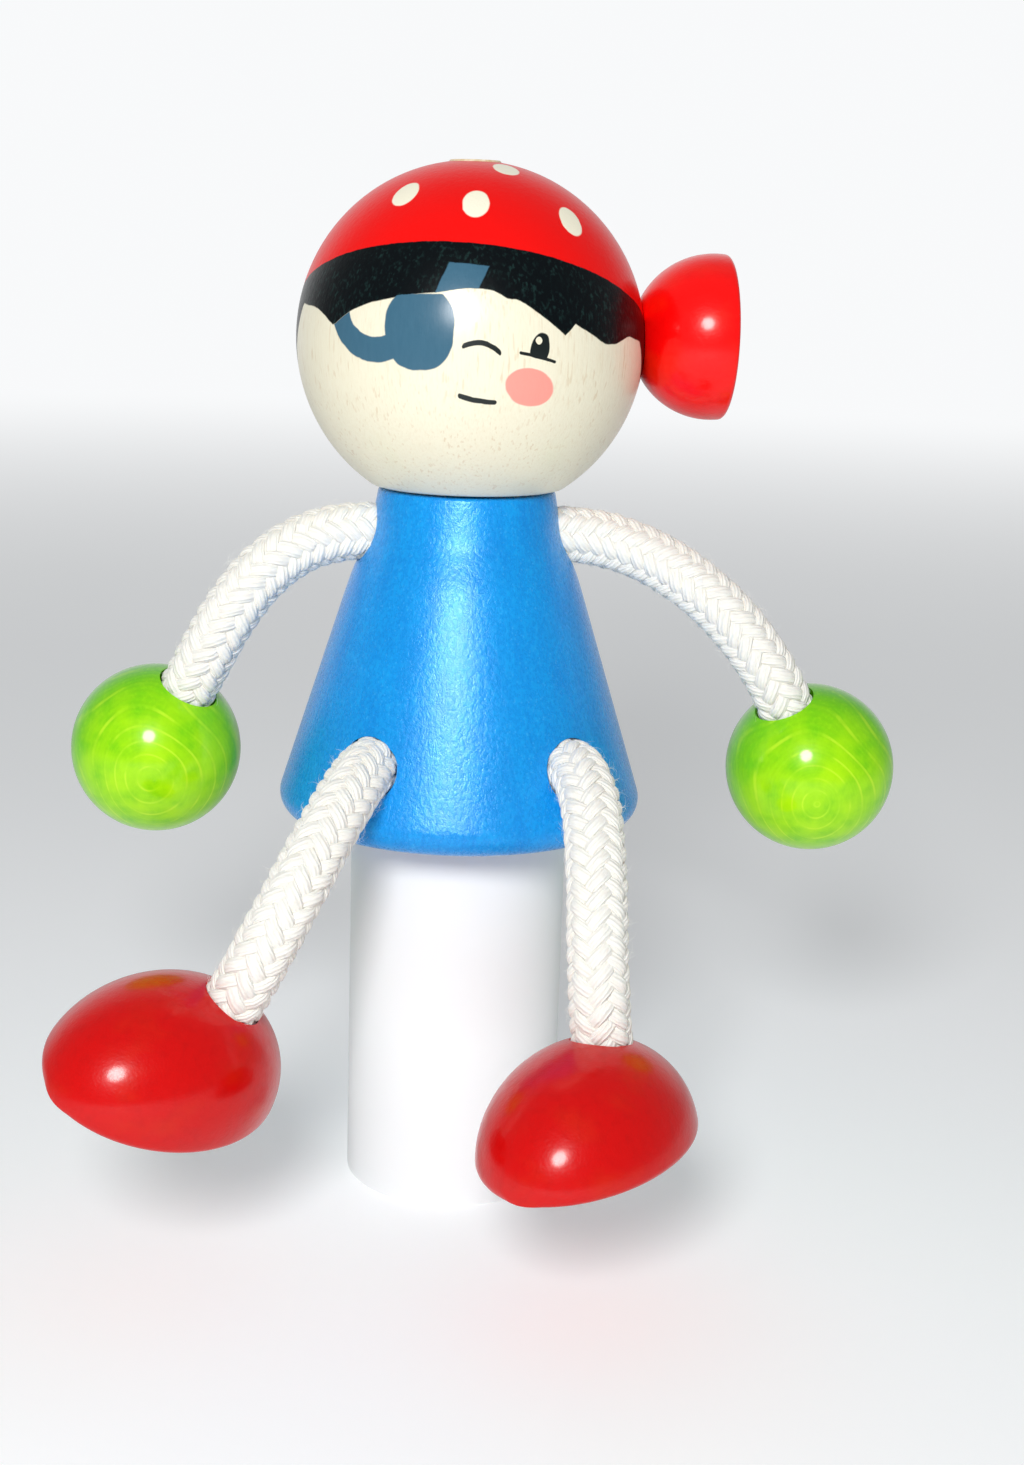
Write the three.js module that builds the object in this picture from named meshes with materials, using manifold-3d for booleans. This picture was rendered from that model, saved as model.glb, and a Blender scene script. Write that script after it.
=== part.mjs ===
// A turned wooden pirate figure with rope arms and legs, made to sit on an edge.
//
// Millimetres, +Z up. The origin is the centre of the torso's flat base, the
// figure faces -Y, and its left side is +X. Every wooden piece is turned on a
// lathe or cut from a turned piece. Each limb is one cotton rope glued into two
// blind holes; it is divided into lengths here so that it can bend at joints.

import * as THREE from "three";
import { mergeVertices } from "three/addons/utils/BufferGeometryUtils.js";
import Module from "manifold-3d";

const wasm = await Module();
wasm.setup();

// ---------------------------------------------------------------- dimensions

const GAP = 0.3; // clearance between pieces that touch or are glued

const TORSO = {
  height: 39,
  baseRadius: 21.6,
  baseRounding: 2.5,
  shoulderRadius: 14.3, // where the straight cone ends
  shoulderHeight: 26,
  topRadius: 10.4,
  topRounding: 0.5,
};
const CONE_ANGLE = Math.atan2(
  TORSO.baseRadius - TORSO.shoulderRadius,
  TORSO.shoulderHeight - TORSO.baseRounding,
);

const HEAD_RADIUS = 20;
const HEAD_FLAT_RADIUS = 11; // the flat that sits on the torso
const HEAD_FLAT_DROP = Math.sqrt(HEAD_RADIUS ** 2 - HEAD_FLAT_RADIUS ** 2);
const HEAD_HEIGHT = TORSO.height + GAP + HEAD_FLAT_DROP; // height of its centre

const KNOT_RADIUS = 9.5;
const KNOT_EDGE = 0.6; // the width of the bevel round its flat side
const KNOT_CAP = 1.5; // how far its flat side is past the middle of its ball
const KNOT_REACH = 29.6; // from the head's axis to the flat side
const KNOT_RISE = 1.1; // how far its axis is above the middle of the head

const NECK_DOWEL = { radius: 2.75, inTorso: 11 }; // it goes right through the head
const KNOT_DOWEL = { radius: 2, inHead: 8, inKnot: 6.5 };

const ROPE_RADIUS = 3.3;
const ROPE_SIDES = 10;
const ROPE_STEP = 2.5; // spacing of the sections along a length
const ROPE_INSERT = 6.5; // how far a rope end goes into each hole
const HOLE_RADIUS = ROPE_RADIUS + GAP;
const HOLE_DEPTH = ROPE_INSERT + GAP;
const BEND_PLACES = [0.12, 0.37, 0.65]; // hinge points, as shares of the free rope

const HAND_RADIUS = 10;

const FOOT = {
  length: 29,
  radius: 11.2, // half the width, and the height of the dome
  toeTaper: 0.03, // how much narrower the toe is than the heel
  holeOffset: 5, // from the middle of the sole towards the heel
};

const ARM_HOLE_HEIGHT = 33.8;
const ARM_HOLE_RADIUS = 11.3; // distance from the axis to the mouth of the hole
const LEG_HOLE_HEIGHT = 9.2;

// ------------------------------------------------------------------- colours

function finish(color, roughness) {
  return new THREE.MeshStandardMaterial({ color, roughness, metalness: 0 });
}

const MATERIALS = {
  beech: finish(0xe6dcbf, 0.5),
  dowel: finish(0xd9c193, 0.7),
  bluePaint: finish(0x0f86dc, 0.4),
  redPaint: finish(0xd8120c, 0.25),
  greenStain: finish(0x6fc414, 0.3),
  rope: finish(0xf2efe6, 0.95),
};

// ------------------------------------------------------------ boolean helpers

// A closed geometry as a manifold solid, with its shared vertices merged.
function solid(geometry) {
  const bare = geometry.index ? geometry.toNonIndexed() : geometry.clone();
  bare.deleteAttribute("normal");
  bare.deleteAttribute("uv");
  const merged = mergeVertices(bare, 1e-4);
  return new wasm.Manifold(
    new wasm.Mesh({
      numProp: 3,
      vertProperties: merged.attributes.position.array,
      triVerts: new Uint32Array(merged.index.array),
    }),
  );
}

function geometryOf(manifold) {
  const { vertProperties, triVerts } = manifold.getMesh();
  const geometry = new THREE.BufferGeometry();
  geometry.setAttribute("position", new THREE.BufferAttribute(vertProperties, 3));
  geometry.setIndex(new THREE.BufferAttribute(triVerts, 1));
  const flat = geometry.toNonIndexed();
  flat.computeVertexNormals();
  return flat;
}

function cut(geometry, ...tools) {
  const whole = solid(geometry);
  return geometryOf(tools.reduce((rest, tool) => rest.subtract(solid(tool)), whole));
}

function join(first, second) {
  return geometryOf(solid(first).add(solid(second)));
}

// ------------------------------------------------------------- shape helpers

const vector = (x, y, z) => new THREE.Vector3(x, y, z);

// A cylinder from one point to another.
function rod(from, to, radius, sides = 20) {
  const along = to.clone().sub(from);
  const geometry = new THREE.CylinderGeometry(radius, radius, along.length(), sides);
  const turn = new THREE.Quaternion().setFromUnitVectors(
    vector(0, 1, 0),
    along.clone().normalize(),
  );
  geometry.applyQuaternion(turn);
  return geometry.translate(...from.clone().add(to).multiplyScalar(0.5));
}

// A cutter for a blind hole whose mouth is at a point of a surface.
function blindHole(mouth, inward, depth, radius) {
  const outside = mouth.clone().addScaledVector(inward, -HOLE_RADIUS * 2);
  return rod(outside, mouth.clone().addScaledVector(inward, depth), radius);
}

function part(name, geometry, material) {
  const mesh = new THREE.Mesh(geometry, material);
  mesh.name = name;
  return mesh;
}

// -------------------------------------------------------------------- limbs

// A limb leaves the torso at `mouth` along `leaving`, and enters the hand or
// foot at `end` along `entering`. The two handles set how far it runs straight.
function limb(mouth, leaving, leavingHandle, end, entering, enteringHandle) {
  leaving.normalize();
  entering.normalize();
  const route = new THREE.CurvePath();
  const start = mouth.clone().addScaledVector(leaving, -ROPE_INSERT);
  const finishPoint = end.clone().addScaledVector(entering, ROPE_INSERT);
  route.add(new THREE.LineCurve3(start, mouth));
  route.add(
    new THREE.CubicBezierCurve3(
      mouth,
      mouth.clone().addScaledVector(leaving, leavingHandle),
      end.clone().addScaledVector(entering, -enteringHandle),
      end,
    ),
  );
  route.add(new THREE.LineCurve3(end, finishPoint));
  const free = route.curves[1].getLength();
  return { mouth, leaving, end, entering, route, free };
}

function torsoRadiusAt(height) {
  return TORSO.baseRadius - (height - TORSO.baseRounding) * Math.tan(CONE_ANGLE);
}

const LEG_HOLE_ANGLE = THREE.MathUtils.degToRad(36.3); // from straight ahead
const LEG_HOLE_X = torsoRadiusAt(LEG_HOLE_HEIGHT) * Math.sin(LEG_HOLE_ANGLE);
const LEG_HOLE_Y = -torsoRadiusAt(LEG_HOLE_HEIGHT) * Math.cos(LEG_HOLE_ANGLE);

const LIMBS = {
  right_arm: limb(
    vector(-ARM_HOLE_RADIUS, 0, ARM_HOLE_HEIGHT),
    vector(-1, 0, 0),
    12,
    vector(-32.3, -1, 15.2),
    vector(-0.43, 0.29, -0.855),
    12,
  ),
  left_arm: limb(
    vector(ARM_HOLE_RADIUS, 0, ARM_HOLE_HEIGHT),
    vector(1, 0, 0),
    13,
    vector(37.7, -6.8, 15.2),
    vector(0.43, 0.2, -0.88),
    10.5,
  ),
  right_leg: limb(
    vector(-LEG_HOLE_X, LEG_HOLE_Y, LEG_HOLE_HEIGHT),
    vector(-0.34, -0.94, 0),
    8,
    vector(-25.9, -30.4, -12.6),
    vector(-0.44, 0.28, -0.853),
    11.7,
  ),
  left_leg: limb(
    vector(LEG_HOLE_X, LEG_HOLE_Y, LEG_HOLE_HEIGHT),
    vector(0.34, -0.94, 0),
    8,
    vector(13.3, -34.1, -15.7),
    vector(0.11, 0.003, -0.994),
    13.5,
  ),
};

// A stretch of a limb's route, from one distance past the torso to another.
class Stretch extends THREE.Curve {
  constructor({ route }, from, to) {
    super();
    this.route = route;
    this.from = (from + ROPE_INSERT) / route.getLength();
    this.to = (to + ROPE_INSERT) / route.getLength();
  }

  getPoint(t, target = vector(0, 0, 0)) {
    const share = THREE.MathUtils.lerp(this.from, this.to, t);
    return target.copy(this.route.getPoint(THREE.MathUtils.clamp(share, 0, 1)));
  }
}

function tube(path, length) {
  const section = new THREE.Shape().absarc(0, 0, ROPE_RADIUS, 0, Math.PI * 2);
  return new THREE.ExtrudeGeometry(section, {
    steps: Math.max(2, Math.round(length / ROPE_STEP)),
    curveSegments: ROPE_SIDES / 2,
    bevelEnabled: false,
    extrudePath: path,
  });
}

// One length of rope. Where another length follows, it ends in a ball about the
// point that the next length turns on.
function ropeLength(which, from, to, hasBall) {
  const path = new Stretch(which, from, to);
  const plain = tube(path, to - from);
  if (!hasBall) return cut(plain);
  const ball = new THREE.SphereGeometry(ROPE_RADIUS, ROPE_SIDES, 8);
  return join(plain, ball.translate(...path.getPoint(1)));
}

function ropePieces(name, which) {
  const bends = BEND_PLACES.map((share) => share * which.free);
  const clear = ROPE_RADIUS + GAP;
  const lengths = {
    rope_root: [-ROPE_INSERT, bends[0], true],
    rope_upper: [bends[0] + clear, bends[1], true],
    rope_middle: [bends[1] + clear, bends[2], true],
    rope_lower: [bends[2] + clear, which.free + ROPE_INSERT, false],
  };
  return Object.entries(lengths).map(([label, [from, to, hasBall]]) =>
    part(`${name}_${label}`, ropeLength(which, from, to, hasBall), MATERIALS.rope),
  );
}

// -------------------------------------------------------------------- torso

function torsoProfile() {
  const { height, baseRadius, baseRounding, topRadius, topRounding } = TORSO;
  const path = new THREE.Path();
  path.moveTo(0, 0);
  path.lineTo(baseRadius - baseRounding, 0);
  path.absarc(
    baseRadius - baseRounding,
    baseRounding,
    baseRounding,
    -Math.PI / 2,
    CONE_ANGLE,
  );
  path.lineTo(TORSO.shoulderRadius, TORSO.shoulderHeight);
  path.splineThru([
    new THREE.Vector2(13.3, 29),
    new THREE.Vector2(12.25, 31.5),
    new THREE.Vector2(11.3, 34),
    new THREE.Vector2(topRadius, height - topRounding),
  ]);
  path.lineTo(topRadius - topRounding, height);
  path.lineTo(0, height);
  return path.getPoints(2);
}

function torso() {
  const turned = new THREE.LatheGeometry(torsoProfile(), 44).rotateX(Math.PI / 2);
  const ropeHoles = Object.values(LIMBS).map(({ mouth, leaving }) =>
    blindHole(mouth, leaving.clone().negate(), HOLE_DEPTH, HOLE_RADIUS),
  );
  const neckHole = blindHole(
    vector(0, 0, TORSO.height),
    vector(0, 0, -1),
    NECK_DOWEL.inTorso + GAP,
    NECK_HOLE_RADIUS,
  );
  return part("torso", cut(turned, neckHole, ...ropeHoles), MATERIALS.bluePaint);
}

// --------------------------------------------------------------------- head

const HEAD_CENTRE = vector(0, 0, HEAD_HEIGHT);
const NECK_HOLE_RADIUS = NECK_DOWEL.radius + GAP;
const CROWN_HEIGHT = HEAD_HEIGHT + Math.sqrt(HEAD_RADIUS ** 2 - NECK_HOLE_RADIUS ** 2);
const KNOT_SEAT = HEAD_CENTRE.clone().add(vector(HEAD_RADIUS + GAP, 0, KNOT_RISE));

function headBall(radius) {
  const ball = new THREE.SphereGeometry(radius, 36, 20);
  return ball.rotateX(Math.PI / 2).translate(...HEAD_CENTRE);
}

function head() {
  const below = new THREE.BoxGeometry(HEAD_RADIUS * 3, HEAD_RADIUS * 3, HEAD_RADIUS);
  below.translate(0, 0, TORSO.height + GAP - HEAD_RADIUS / 2);
  const neckHole = rod(
    vector(0, 0, HEAD_HEIGHT - HEAD_RADIUS * 2),
    vector(0, 0, HEAD_HEIGHT + HEAD_RADIUS * 2),
    NECK_HOLE_RADIUS,
  );
  const knotHole = blindHole(
    KNOT_SEAT,
    vector(-1, 0, 0),
    KNOT_DOWEL.inHead + GAP,
    KNOT_DOWEL.radius + GAP,
  );
  return part("head_ball", cut(headBall(HEAD_RADIUS), below, neckHole, knotHole), MATERIALS.beech);
}

// The dowel's end shows at the crown, flush with the ball around it.
function neckDowel() {
  const bottom = vector(0, 0, TORSO.height - NECK_DOWEL.inTorso);
  const top = vector(0, 0, CROWN_HEIGHT);
  return part("neck_dowel", rod(bottom, top, NECK_DOWEL.radius), MATERIALS.dowel);
}

// The tied end of the scarf is a ball that is cut flat a little past its middle,
// and hollowed on the other side to sit on the head.
function scarfKnot() {
  const flatRadius = Math.sqrt(KNOT_RADIUS ** 2 - KNOT_CAP ** 2) - KNOT_EDGE;
  const bevelStart = Math.asin((KNOT_CAP - KNOT_EDGE) / KNOT_RADIUS);
  const outline = new THREE.Path();
  outline.moveTo(0, -KNOT_CAP - KNOT_RADIUS);
  outline.absarc(0, -KNOT_CAP, KNOT_RADIUS, -Math.PI / 2, bevelStart);
  outline.lineTo(flatRadius, 0);
  outline.lineTo(0, 0);
  const ball = new THREE.LatheGeometry(outline.getPoints(5), 28);
  ball.rotateZ(-Math.PI / 2).translate(KNOT_REACH, 0, KNOT_SEAT.z);
  const hole = blindHole(
    KNOT_SEAT,
    vector(1, 0, 0),
    KNOT_DOWEL.inKnot + GAP,
    KNOT_DOWEL.radius + GAP,
  );
  const knot = cut(ball, headBall(HEAD_RADIUS + GAP), hole);
  return part("scarf_knot", knot, MATERIALS.redPaint);
}

function knotDowel() {
  const inHead = KNOT_SEAT.clone().add(vector(-KNOT_DOWEL.inHead, 0, 0));
  const inKnot = KNOT_SEAT.clone().add(vector(KNOT_DOWEL.inKnot, 0, 0));
  const geometry = rod(inHead, inKnot, KNOT_DOWEL.radius, 16);
  return part("knot_dowel", geometry, MATERIALS.dowel);
}

// ----------------------------------------------------------- hands and feet

function hand(name, { end, entering }) {
  const mouthDepth = Math.sqrt(HAND_RADIUS ** 2 - HOLE_RADIUS ** 2);
  const centre = end.clone().addScaledVector(entering, mouthDepth);
  const bead = new THREE.SphereGeometry(HAND_RADIUS, 26, 13);
  bead.translate(...centre);
  const hole = blindHole(end, entering, HOLE_DEPTH, HOLE_RADIUS);
  return part(name, cut(bead, hole), MATERIALS.greenStain);
}

// An egg turned about its long axis and sawn in half lengthways: the sole is
// flat, the toe points along +X of its own frame, and the dome is along +Z.
function footGeometry() {
  const { length, radius, toeTaper } = FOOT;
  const outline = [];
  const rows = 16;
  for (let i = 0; i <= rows; i += 1) {
    const angle = (i / rows) * Math.PI;
    const along = -Math.cos(angle);
    const width = i % rows ? radius * Math.sin(angle) * (1 - toeTaper * along) : 0;
    outline.push(new THREE.Vector2(width, (along * length) / 2));
  }
  const egg = new THREE.LatheGeometry(outline, 32).rotateZ(-Math.PI / 2);
  const lowerHalf = new THREE.BoxGeometry(length * 2, radius * 3, radius * 2);
  return cut(egg, lowerHalf.translate(0, 0, -radius));
}

function foot(name, { end, entering }, toeDirection) {
  const { length, radius, toeTaper, holeOffset } = FOOT;
  const heelwards = -holeOffset / (length / 2);
  const domeHeight =
    radius * Math.sqrt(1 - heelwards ** 2) * (1 - toeTaper * heelwards);
  const up = entering.clone().negate();
  const toe = toeDirection.clone().projectOnPlane(up).normalize();
  const side = up.clone().cross(toe);
  const sole = end.clone();
  sole.addScaledVector(up, -domeHeight).addScaledVector(toe, holeOffset);
  const pose = new THREE.Matrix4().makeBasis(toe, side, up).setPosition(sole);
  const hole = blindHole(end, entering, HOLE_DEPTH, HOLE_RADIUS);
  return part(name, cut(footGeometry().applyMatrix4(pose), hole), MATERIALS.redPaint);
}

// ------------------------------------------------------------------ assembly

const figure = new THREE.Group();
figure.add(torso(), neckDowel(), head(), knotDowel(), scarfKnot());
for (const [name, which] of Object.entries(LIMBS)) {
  figure.add(...ropePieces(name, which));
}
figure.add(
  hand("right_hand", LIMBS.right_arm),
  hand("left_hand", LIMBS.left_arm),
  foot("right_foot", LIMBS.right_leg, vector(-0.68, -0.71, 0.13)),
  foot("left_foot", LIMBS.left_leg, vector(-0.569, -0.82, -0.074)),
);

export default figure;
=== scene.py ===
"""A turned wooden pirate figure with braided rope limbs, on a short post over a pale floor.

Lengths in this script are in millimetres, in the frame of the model, and become metres when a mesh is made.
The figure faces -Y and its left side is +X. Angles on the head's paint are in degrees.
"""

import math
import random

import bmesh
import bpy
from mathutils import Matrix, Vector, noise


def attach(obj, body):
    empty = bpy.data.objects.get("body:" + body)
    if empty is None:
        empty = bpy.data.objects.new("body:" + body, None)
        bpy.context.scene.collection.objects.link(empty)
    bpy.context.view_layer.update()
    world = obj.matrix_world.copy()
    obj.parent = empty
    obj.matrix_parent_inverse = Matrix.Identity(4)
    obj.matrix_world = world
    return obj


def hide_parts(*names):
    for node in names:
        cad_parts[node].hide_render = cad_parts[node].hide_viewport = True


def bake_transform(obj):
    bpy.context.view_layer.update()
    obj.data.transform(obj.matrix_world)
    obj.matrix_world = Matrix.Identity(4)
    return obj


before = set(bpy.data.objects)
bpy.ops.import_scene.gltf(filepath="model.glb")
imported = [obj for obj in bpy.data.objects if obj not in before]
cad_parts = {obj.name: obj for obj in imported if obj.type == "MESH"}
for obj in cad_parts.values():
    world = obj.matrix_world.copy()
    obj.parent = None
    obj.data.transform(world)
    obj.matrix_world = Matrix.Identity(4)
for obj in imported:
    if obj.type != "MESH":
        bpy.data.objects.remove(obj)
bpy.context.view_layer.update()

MM = 0.001

# ------------------------------------------------------------------ dimensions

TORSO_HEIGHT = 39
TORSO_BASE = 21.6
TORSO_BASE_ROUNDING = 2.5
TORSO_SHOULDER = (14.3, 26)
TORSO_NECK = [(13.3, 29), (12.25, 31.5), (11.3, 34), (10.4, 38.5)]
TORSO_TOP_ROUNDING = 0.5
CONE_ANGLE = math.atan2(TORSO_BASE - TORSO_SHOULDER[0], TORSO_SHOULDER[1] - TORSO_BASE_ROUNDING)

HEAD_RADIUS = 20
HEAD_FLAT = 11
HEAD_CENTRE = Vector((0, 0, TORSO_HEIGHT + 0.3 + math.sqrt(HEAD_RADIUS**2 - HEAD_FLAT**2)))

NECK_DOWEL_RADIUS = 2.95
NECK_DOWEL_DEPTH = 11
NECK_DOWEL_PROUD = 0.2
NECK_HOLE_RADIUS = 3
NECK_HOLE_DEPTH = 11.2
HEAD_BORE_DEPTH = 45  # more than the ball is high, so the bore goes right through

KNOT_RADIUS = 9.5
KNOT_FLAT_X = 29.6
KNOT_EDGE = 0.6
KNOT_CAP = 1.5  # how far the flat side is past the middle of the knot's ball
KNOT_RISE = 1.1
KNOT_SEAT_RADIUS = 20.04
KNOT_HOLE_RADIUS = 2.05
KNOT_HOLE_DEPTH = 6.8
KNOT_HOLE_DEPTH_IN_HEAD = 8.2
KNOT_HOLE_LIP = 0.02

HAND_RADIUS = 10
FOOT_LENGTH = 29
FOOT_RADIUS = 11.2
FOOT_TAPER = 0.03
FOOT_HOLE_BACK = 5
FOOT_EDGE = 0.9
FOOT_ROWS = 72
FOOT_DOME_STEPS = 60

ROPE_RADIUS = 3.3
HOLE_RADIUS = 3.38  # the rope fills it
HAND_HOLE_RADIUS = 3.6  # it leaves a narrow gap on one side
HOLE_DEPTH = 6.8
HOLE_LIP = 0.22
LIP_STEPS = 5
CUTTER_OUTSIDE = 8  # how far a hole's cutter stands out of the surface
BEND_PLACES = (0.12, 0.37, 0.65)
ROPE_HIDDEN = 3.5  # how much of the braid is made inside each hole


# ------------------------------------------------------------------ mesh tools


def make_piece(name, points, faces):
    """A mesh object from points in millimetres."""
    mesh = bpy.data.meshes.new(name)
    mesh.from_pydata([Vector(p) * MM for p in points], [], faces)
    made = bpy.data.objects.new(name, mesh)
    bpy.context.scene.collection.objects.link(made)
    return made


def shade(piece, sharp_above=40):
    """Smooth shading, except across edges sharper than an angle in degrees."""
    for face in piece.data.polygons:
        face.use_smooth = True
    piece.data.set_sharp_from_angle(angle=math.radians(sharp_above))


def recalculate_normals(piece):
    work = bmesh.new()
    work.from_mesh(piece.data)
    bmesh.ops.recalc_face_normals(work, faces=work.faces)
    work.to_mesh(piece.data)
    work.free()


def lathe(profile, sides):
    """Points and faces of a solid turned about Z. The profile's ends are on the axis."""
    points = [(0, 0, profile[0][1])]
    for radius, height in profile[1:-1]:
        for i in range(sides):
            turn = math.tau * i / sides
            points.append((radius * math.cos(turn), radius * math.sin(turn), height))
    points.append((0, 0, profile[-1][1]))
    rings = len(profile) - 2
    last = len(points) - 1
    faces = []
    for i in range(sides):
        j = (i + 1) % sides
        faces.append((0, 1 + j, 1 + i))
        for k in range(rings - 1):
            low = 1 + k * sides
            high = low + sides
            faces.append((low + i, low + j, high + j, high + i))
        top = 1 + (rings - 1) * sides
        faces.append((last, top + i, top + j))
    return points, faces


def placed(points, matrix):
    return [matrix @ Vector(p) for p in points]


def arc(centre, radius, start, end, steps):
    """Points of an arc, with its angles in degrees from the +r direction."""
    found = []
    for i in range(steps + 1):
        angle = math.radians(start + (end - start) * i / steps)
        found.append((centre[0] + radius * math.cos(angle), centre[1] + radius * math.sin(angle)))
    return found


def line(start, end, steps):
    """Points from start to end, without the two ends."""
    return [
        (start[0] + (end[0] - start[0]) * i / steps, start[1] + (end[1] - start[1]) * i / steps)
        for i in range(1, steps)
    ]


def through(points, steps):
    """A smooth curve through points, in steps for each stretch."""
    ends = [points[0], *points, points[-1]]
    found = []
    for a, b, c, d in zip(ends, ends[1:], ends[2:], ends[3:]):
        for i in range(steps):
            t = i / steps
            found.append(
                tuple(
                    0.5
                    * (
                        2 * q
                        + (r - p) * t
                        + (2 * p - 5 * q + 4 * r - s) * t * t
                        + (3 * q - p - 3 * r + s) * t**3
                    )
                    for p, q, r, s in zip(a, b, c, d)
                )
            )
    return found + [points[-1]]


def towards(direction):
    """A rotation that takes +Z to a direction."""
    return Vector(direction).to_track_quat("Z", "Y").to_matrix().to_4x4()


def hole_cutter(mouth, inward, radius, depth, lip):
    """A cutter for a round hole, which widens to a rounded lip at its mouth."""
    profile = [(0, -CUTTER_OUTSIDE), (radius + lip, -CUTTER_OUTSIDE)]
    for i in range(LIP_STEPS + 1):
        turn = math.pi / 2 * i / LIP_STEPS
        profile.append((radius + lip * (1 - math.sin(turn)), lip * (1 - math.cos(turn))))
    profile += [(radius, depth), (0, depth)]
    points, faces = lathe(profile, 64)
    place = Matrix.Translation(mouth) @ towards(inward)
    return make_piece("cutter", placed(points, place), faces)


def carve(piece, cutters):
    """Takes the cutters out of the piece, and deletes them."""
    for cutter in cutters:
        cut = piece.modifiers.new("cut", "BOOLEAN")
        cut.operation = "DIFFERENCE"
        cut.solver = "EXACT"
        cut.object = cutter
    bpy.context.view_layer.update()
    evaluated = piece.evaluated_get(bpy.context.evaluated_depsgraph_get())
    carved = bpy.data.meshes.new_from_object(evaluated)
    piece.modifiers.clear()
    piece.data = carved
    for cutter in cutters:
        bpy.data.objects.remove(cutter)


def dress(piece, material, slot_name, body, *nodes):
    """Gives a piece its material and its body, and hides the CAD nodes that it stands for."""
    piece.data.materials.clear()
    piece.data.materials.append(material)
    if body is not None:
        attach(piece, body)
    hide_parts(*nodes)


# --------------------------------------------------------------- shader tools


def linear(red, green, blue):
    """A colour given as 0 to 255 for each channel, as a shader colour."""
    parts = [c / 255 for c in (red, green, blue)]
    return tuple(c / 12.92 if c <= 0.04045 else ((c + 0.055) / 1.055) ** 2.4 for c in parts) + (1,)


def plug(tree, value, slot):
    if isinstance(value, Num):
        tree.links.new(value.socket, slot)
    elif isinstance(value, bpy.types.NodeSocket):
        tree.links.new(value, slot)
    else:
        slot.default_value = value


class Num:
    """A number on a shader socket, so that arithmetic on it adds math nodes."""

    def __init__(self, tree, socket):
        self.tree = tree
        self.socket = socket

    def math(self, operation, *others):
        node = self.tree.nodes.new("ShaderNodeMath")
        node.operation = operation
        for value, slot in zip((self, *others), node.inputs):
            plug(self.tree, value, slot)
        return Num(self.tree, node.outputs[0])

    def __add__(self, other):
        return self.math("ADD", other)

    def __sub__(self, other):
        return self.math("SUBTRACT", other)

    def __mul__(self, other):
        return self.math("MULTIPLY", other)

    def __truediv__(self, other):
        return self.math("DIVIDE", other)

    def abs(self):
        return self.math("ABSOLUTE")

    def power(self, exponent):
        return self.math("POWER", exponent)

    def min(self, other):
        return self.math("MINIMUM", other)

    def max(self, other):
        return self.math("MAXIMUM", other)

    def away_from(self, x, other, y):
        """The distance of (self, other) from the point (x, y)."""
        return ((self - x).power(2) + (other - y).power(2)).math("SQRT")

    def above(self, edge, soft):
        """0 below the edge and 1 above it, turning smoothly over soft on each side."""
        node = self.tree.nodes.new("ShaderNodeMapRange")
        node.interpolation_type = "SMOOTHSTEP"
        plug(self.tree, self - edge, node.inputs["Value"])
        node.inputs["From Min"].default_value = -soft
        node.inputs["From Max"].default_value = soft
        return Num(self.tree, node.outputs[0])

    def below(self, edge, soft):
        return (self.above(edge, soft) - 1) * -1


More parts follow.
